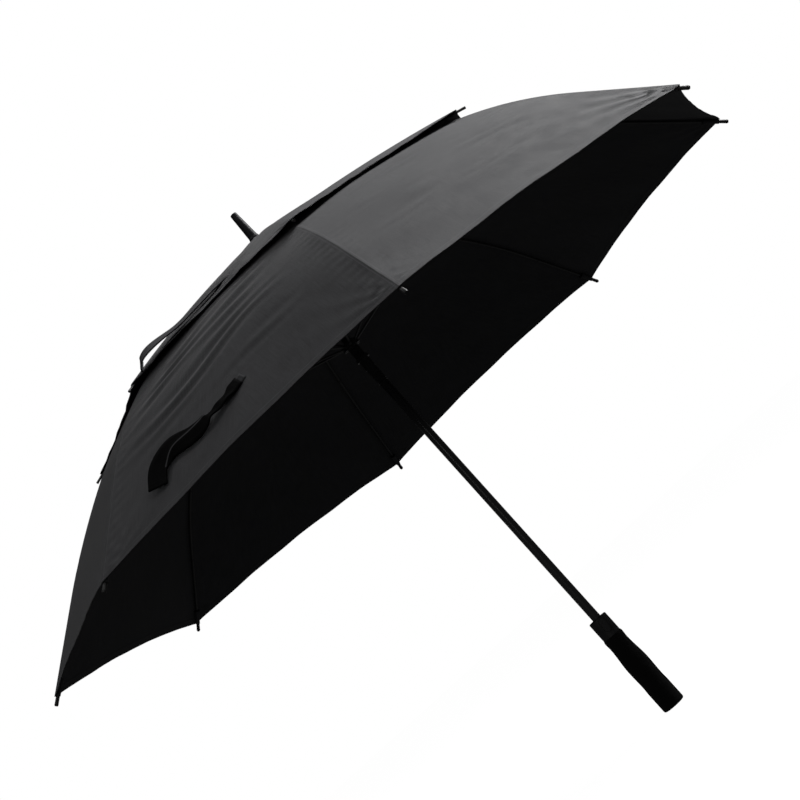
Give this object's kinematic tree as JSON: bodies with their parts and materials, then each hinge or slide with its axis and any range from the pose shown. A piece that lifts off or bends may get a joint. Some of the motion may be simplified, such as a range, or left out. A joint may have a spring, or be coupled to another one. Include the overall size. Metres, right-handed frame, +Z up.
{
  "type": "golf umbrella",
  "caption": "Open golf umbrella with a vented double canopy, folding rib linkage, sliding runner, foam grip and push-button release.",
  "frame": {"origin": "centre of the grip's flat butt", "axes": "+Z up the shaft from the butt to the ferrule; -Y towards the push button and rib 1"},
  "size_m": [1.323, 1.323, 0.969],
  "materials": {
    "shaft": "gloss",
    "moulding": "gloss",
    "steel": "satin",
    "handle_plastic": "satin",
    "grip_foam": "matte",
    "canopy_cloth": "satin",
    "strap_cloth": "matte",
    "button": "satin",
    "fibreglass": "satin",
    "tips": "gloss",
    "stretcher_metal": "satin"
  },
  "bodies": {
    "frame": {"shaft": "shaft", "ferrule": "moulding", "ferrule_collar": "moulding", "top_notch": "moulding", "notch_wires": "steel", "opening_spring": "steel", "handle_collar": "handle_plastic", "button_spring": "steel", "handle_core": "handle_plastic", "grip": "grip_foam", "end_cap": "handle_plastic", "lower_canopy": "canopy_cloth", "upper_canopy": "canopy_cloth", "strap_lower": "strap_cloth", "strap_upper": "strap_cloth"},
    "runner": {"runner": "moulding", "runner_wire": "steel", "spring_plunger": "steel"},
    "release_button": {"push_button": "button", "catch_plate": "steel"},
    "rib_1": {"rib_inner_1": "fibreglass"},
    "rib_end_1": {"rib_outer_1": "fibreglass", "rib_tip_1": "tips"},
    "stretcher_1": {"stretcher_1": "stretcher_metal"},
    "vent_rib_1": {"vent_rib_1": "fibreglass"},
    "rib_2": {"rib_inner_2": "fibreglass"},
    "rib_end_2": {"rib_outer_2": "fibreglass", "rib_tip_2": "tips"},
    "stretcher_2": {"stretcher_2": "stretcher_metal"},
    "vent_rib_2": {"vent_rib_2": "fibreglass"},
    "rib_3": {"rib_inner_3": "fibreglass"},
    "rib_end_3": {"rib_outer_3": "fibreglass", "rib_tip_3": "tips"},
    "stretcher_3": {"stretcher_3": "stretcher_metal"},
    "vent_rib_3": {"vent_rib_3": "fibreglass"},
    "rib_4": {"rib_inner_4": "fibreglass"},
    "rib_end_4": {"rib_outer_4": "fibreglass", "rib_tip_4": "tips"},
    "stretcher_4": {"stretcher_4": "stretcher_metal"},
    "vent_rib_4": {"vent_rib_4": "fibreglass"},
    "rib_5": {"rib_inner_5": "fibreglass"},
    "rib_end_5": {"rib_outer_5": "fibreglass", "rib_tip_5": "tips"},
    "stretcher_5": {"stretcher_5": "stretcher_metal"},
    "vent_rib_5": {"vent_rib_5": "fibreglass"},
    "rib_6": {"rib_inner_6": "fibreglass"},
    "rib_end_6": {"rib_outer_6": "fibreglass", "rib_tip_6": "tips"},
    "stretcher_6": {"stretcher_6": "stretcher_metal"},
    "vent_rib_6": {"vent_rib_6": "fibreglass"},
    "rib_7": {"rib_inner_7": "fibreglass"},
    "rib_end_7": {"rib_outer_7": "fibreglass", "rib_tip_7": "tips"},
    "stretcher_7": {"stretcher_7": "stretcher_metal"},
    "vent_rib_7": {"vent_rib_7": "fibreglass"},
    "rib_8": {"rib_inner_8": "fibreglass"},
    "rib_end_8": {"rib_outer_8": "fibreglass", "rib_tip_8": "tips"},
    "stretcher_8": {"stretcher_8": "stretcher_metal"},
    "vent_rib_8": {"vent_rib_8": "fibreglass"}
  },
  "joints": [
    {"name": "canopy_fold", "type": "hinge", "parent": "frame", "child": "rib_1", "pos_m": [0, -0.011, 0.902], "axis": [1, 0, 0], "range_deg": [0, 72.57], "stiffness_Nm_per_rad": 1.2, "springref_deg": -91.67, "deforming": ["opening_spring", "lower_canopy", "upper_canopy", "strap_lower", "strap_upper"]},
    {"name": "stretcher_pivot_1", "type": "hinge", "parent": "rib_1", "child": "stretcher_1", "pos_m": [0, -0.33151, 0.8014], "axis": [1, 0, 0], "range_deg": [-146.15, 0]},
    {"name": "rib_flex_1", "type": "hinge", "parent": "rib_1", "child": "rib_end_1", "pos_m": [0, -0.34505, 0.80305], "axis": [1, 0, 0], "range_deg": [-18.65, 0]},
    {"name": "vent_rib_pivot_1", "type": "hinge", "parent": "frame", "child": "vent_rib_1", "pos_m": [0, -0.0152, 0.9095], "axis": [1, 0, 0], "range_deg": [0, 71.8]},
    {"name": "rib_pivot_2", "type": "hinge", "parent": "frame", "child": "rib_2", "pos_m": [0.00778, -0.00778, 0.902], "axis": [0.7071, 0.7071, 0], "range_deg": [0, 72.57]},
    {"name": "stretcher_pivot_2", "type": "hinge", "parent": "rib_2", "child": "stretcher_2", "pos_m": [0.23441, -0.23441, 0.8014], "axis": [0.7071, 0.7071, 0], "range_deg": [-146.15, 0]},
    {"name": "rib_flex_2", "type": "hinge", "parent": "rib_2", "child": "rib_end_2", "pos_m": [0.24399, -0.24399, 0.80305], "axis": [0.7071, 0.7071, 0], "range_deg": [-18.65, 0]},
    {"name": "vent_rib_pivot_2", "type": "hinge", "parent": "frame", "child": "vent_rib_2", "pos_m": [0.01075, -0.01075, 0.9095], "axis": [0.7071, 0.7071, 0], "range_deg": [0, 71.8]},
    {"name": "rib_pivot_3", "type": "hinge", "parent": "frame", "child": "rib_3", "pos_m": [0.011, 0, 0.902], "axis": [0, 1, 0], "range_deg": [0, 72.57]},
    {"name": "stretcher_pivot_3", "type": "hinge", "parent": "rib_3", "child": "stretcher_3", "pos_m": [0.33151, 0, 0.8014], "axis": [0, 1, 0], "range_deg": [-146.15, 0]},
    {"name": "rib_flex_3", "type": "hinge", "parent": "rib_3", "child": "rib_end_3", "pos_m": [0.34505, 0, 0.80305], "axis": [0, 1, 0], "range_deg": [-18.65, 0]},
    {"name": "vent_rib_pivot_3", "type": "hinge", "parent": "frame", "child": "vent_rib_3", "pos_m": [0.0152, 0, 0.9095], "axis": [0, 1, 0], "range_deg": [0, 71.8]},
    {"name": "rib_pivot_4", "type": "hinge", "parent": "frame", "child": "rib_4", "pos_m": [0.00778, 0.00778, 0.902], "axis": [-0.7071, 0.7071, 0], "range_deg": [0, 72.57]},
    {"name": "stretcher_pivot_4", "type": "hinge", "parent": "rib_4", "child": "stretcher_4", "pos_m": [0.23441, 0.23441, 0.8014], "axis": [-0.7071, 0.7071, 0], "range_deg": [-146.15, 0]},
    {"name": "rib_flex_4", "type": "hinge", "parent": "rib_4", "child": "rib_end_4", "pos_m": [0.24399, 0.24399, 0.80305], "axis": [-0.7071, 0.7071, 0], "range_deg": [-18.65, 0]},
    {"name": "vent_rib_pivot_4", "type": "hinge", "parent": "frame", "child": "vent_rib_4", "pos_m": [0.01075, 0.01075, 0.9095], "axis": [-0.7071, 0.7071, 0], "range_deg": [0, 71.8]},
    {"name": "rib_pivot_5", "type": "hinge", "parent": "frame", "child": "rib_5", "pos_m": [0, 0.011, 0.902], "axis": [-1, 0, 0], "range_deg": [0, 72.57]},
    {"name": "stretcher_pivot_5", "type": "hinge", "parent": "rib_5", "child": "stretcher_5", "pos_m": [0, 0.33151, 0.8014], "axis": [-1, 0, 0], "range_deg": [-146.15, 0]},
    {"name": "rib_flex_5", "type": "hinge", "parent": "rib_5", "child": "rib_end_5", "pos_m": [0, 0.34505, 0.80305], "axis": [-1, 0, 0], "range_deg": [-18.65, 0]},
    {"name": "vent_rib_pivot_5", "type": "hinge", "parent": "frame", "child": "vent_rib_5", "pos_m": [0, 0.0152, 0.9095], "axis": [-1, 0, 0], "range_deg": [0, 71.8]},
    {"name": "rib_pivot_6", "type": "hinge", "parent": "frame", "child": "rib_6", "pos_m": [-0.00778, 0.00778, 0.902], "axis": [-0.7071, -0.7071, 0], "range_deg": [0, 72.57]},
    {"name": "stretcher_pivot_6", "type": "hinge", "parent": "rib_6", "child": "stretcher_6", "pos_m": [-0.23441, 0.23441, 0.8014], "axis": [-0.7071, -0.7071, 0], "range_deg": [-146.15, 0]},
    {"name": "rib_flex_6", "type": "hinge", "parent": "rib_6", "child": "rib_end_6", "pos_m": [-0.24399, 0.24399, 0.80305], "axis": [-0.7071, -0.7071, 0], "range_deg": [-18.65, 0]},
    {"name": "vent_rib_pivot_6", "type": "hinge", "parent": "frame", "child": "vent_rib_6", "pos_m": [-0.01075, 0.01075, 0.9095], "axis": [-0.7071, -0.7071, 0], "range_deg": [0, 71.8]},
    {"name": "rib_pivot_7", "type": "hinge", "parent": "frame", "child": "rib_7", "pos_m": [-0.011, 0, 0.902], "axis": [0, -1, 0], "range_deg": [0, 72.57]},
    {"name": "stretcher_pivot_7", "type": "hinge", "parent": "rib_7", "child": "stretcher_7", "pos_m": [-0.33151, 0, 0.8014], "axis": [0, -1, 0], "range_deg": [-146.15, 0]},
    {"name": "rib_flex_7", "type": "hinge", "parent": "rib_7", "child": "rib_end_7", "pos_m": [-0.34505, 0, 0.80305], "axis": [0, -1, 0], "range_deg": [-18.65, 0]},
    {"name": "vent_rib_pivot_7", "type": "hinge", "parent": "frame", "child": "vent_rib_7", "pos_m": [-0.0152, 0, 0.9095], "axis": [0, -1, 0], "range_deg": [0, 71.8]},
    {"name": "rib_pivot_8", "type": "hinge", "parent": "frame", "child": "rib_8", "pos_m": [-0.00778, -0.00778, 0.902], "axis": [0.7071, -0.7071, 0], "range_deg": [0, 72.57]},
    {"name": "stretcher_pivot_8", "type": "hinge", "parent": "rib_8", "child": "stretcher_8", "pos_m": [-0.23441, -0.23441, 0.8014], "axis": [0.7071, -0.7071, 0], "range_deg": [-146.15, 0]},
    {"name": "rib_flex_8", "type": "hinge", "parent": "rib_8", "child": "rib_end_8", "pos_m": [-0.24399, -0.24399, 0.80305], "axis": [0.7071, -0.7071, 0], "range_deg": [-18.65, 0]},
    {"name": "vent_rib_pivot_8", "type": "hinge", "parent": "frame", "child": "vent_rib_8", "pos_m": [-0.01075, -0.01075, 0.9095], "axis": [0.7071, -0.7071, 0], "range_deg": [0, 71.8]},
    {"name": "runner_pivot", "type": "hinge", "parent": "stretcher_1", "child": "runner", "pos_m": [0, -0.011, 0.7008], "axis": [1, 0, 0], "range_deg": [0, 73.57]},
    {"name": "button_press", "type": "slide", "parent": "frame", "child": "release_button", "axis": [0, 1, 0], "range_m": [0, 0.002], "stiffness_N_per_m": 300, "springref_m": -0.004, "deforming": ["button_spring"]}
  ],
  "couplings": [
    {"joint": "stretcher_pivot_1", "follows": "canopy_fold", "ratio": -2},
    {"joint": "rib_flex_1", "follows": "canopy_fold", "ratio": -0.24325},
    {"joint": "vent_rib_pivot_1", "follows": "canopy_fold", "ratio": 0.97556},
    {"joint": "rib_pivot_2", "follows": "canopy_fold", "ratio": 1},
    {"joint": "stretcher_pivot_2", "follows": "canopy_fold", "ratio": -2},
    {"joint": "rib_flex_2", "follows": "canopy_fold", "ratio": -0.24325},
    {"joint": "vent_rib_pivot_2", "follows": "canopy_fold", "ratio": 0.97556},
    {"joint": "rib_pivot_3", "follows": "canopy_fold", "ratio": 1},
    {"joint": "stretcher_pivot_3", "follows": "canopy_fold", "ratio": -2},
    {"joint": "rib_flex_3", "follows": "canopy_fold", "ratio": -0.24325},
    {"joint": "vent_rib_pivot_3", "follows": "canopy_fold", "ratio": 0.97556},
    {"joint": "rib_pivot_4", "follows": "canopy_fold", "ratio": 1},
    {"joint": "stretcher_pivot_4", "follows": "canopy_fold", "ratio": -2},
    {"joint": "rib_flex_4", "follows": "canopy_fold", "ratio": -0.24325},
    {"joint": "vent_rib_pivot_4", "follows": "canopy_fold", "ratio": 0.97556},
    {"joint": "rib_pivot_5", "follows": "canopy_fold", "ratio": 1},
    {"joint": "stretcher_pivot_5", "follows": "canopy_fold", "ratio": -2},
    {"joint": "rib_flex_5", "follows": "canopy_fold", "ratio": -0.24325},
    {"joint": "vent_rib_pivot_5", "follows": "canopy_fold", "ratio": 0.97556},
    {"joint": "rib_pivot_6", "follows": "canopy_fold", "ratio": 1},
    {"joint": "stretcher_pivot_6", "follows": "canopy_fold", "ratio": -2},
    {"joint": "rib_flex_6", "follows": "canopy_fold", "ratio": -0.24325},
    {"joint": "vent_rib_pivot_6", "follows": "canopy_fold", "ratio": 0.97556},
    {"joint": "rib_pivot_7", "follows": "canopy_fold", "ratio": 1},
    {"joint": "stretcher_pivot_7", "follows": "canopy_fold", "ratio": -2},
    {"joint": "rib_flex_7", "follows": "canopy_fold", "ratio": -0.24325},
    {"joint": "vent_rib_pivot_7", "follows": "canopy_fold", "ratio": 0.97556},
    {"joint": "rib_pivot_8", "follows": "canopy_fold", "ratio": 1},
    {"joint": "stretcher_pivot_8", "follows": "canopy_fold", "ratio": -2},
    {"joint": "rib_flex_8", "follows": "canopy_fold", "ratio": -0.24325},
    {"joint": "vent_rib_pivot_8", "follows": "canopy_fold", "ratio": 0.97556},
    {"joint": "runner_pivot", "follows": "canopy_fold", "ratio": 1}
  ]
}
